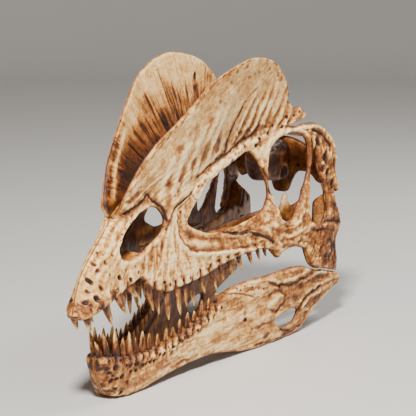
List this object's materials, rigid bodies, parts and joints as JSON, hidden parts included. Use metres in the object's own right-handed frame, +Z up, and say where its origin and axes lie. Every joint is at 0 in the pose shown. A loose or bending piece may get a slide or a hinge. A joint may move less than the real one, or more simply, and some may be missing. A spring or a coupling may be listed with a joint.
{
  "type": "dinosaur skull",
  "caption": "Life-size fossil skull of a two-crested meat-eating dinosaur, mouth open, each bone a piece of its own, standing on its own lower jaw.",
  "frame": {"origin": "centre of the bounding box, on the surface that the lower jaw stands on", "axes": "+X to the animal's left, +Y from the snout to the neck, +Z up"},
  "size_m": [0.2004, 0.5996, 0.4327],
  "materials": {
    "fossil_bone": "dry porous bone, stained ochre and brown, darker in pits and sutures"
  },
  "bodies": {
    "root": {"angular_L": "fossil_bone", "angular_R": "fossil_bone", "braincase": "fossil_bone", "dentary_L": "fossil_bone", "dentary_R": "fossil_bone", "frontal": "fossil_bone", "jugal_L": "fossil_bone", "jugal_R": "fossil_bone", "lacrimal_crest_L": "fossil_bone", "lacrimal_crest_R": "fossil_bone", "maxilla_L": "fossil_bone", "maxilla_R": "fossil_bone", "nasal_crest_L": "fossil_bone", "nasal_crest_R": "fossil_bone", "nasal_roof": "fossil_bone", "occiput": "fossil_bone", "palatine_L": "fossil_bone", "palatine_R": "fossil_bone", "parietal": "fossil_bone", "postorbital_L": "fossil_bone", "postorbital_R": "fossil_bone", "premaxilla_L": "fossil_bone", "premaxilla_R": "fossil_bone", "pterygoid_L": "fossil_bone", "pterygoid_R": "fossil_bone", "quadrate_L": "fossil_bone", "quadrate_R": "fossil_bone", "quadratojugal_L": "fossil_bone", "quadratojugal_R": "fossil_bone", "squamosal_L": "fossil_bone", "squamosal_R": "fossil_bone", "surangular_L": "fossil_bone", "surangular_R": "fossil_bone", "vomer": "fossil_bone"}
  },
  "joints": []
}
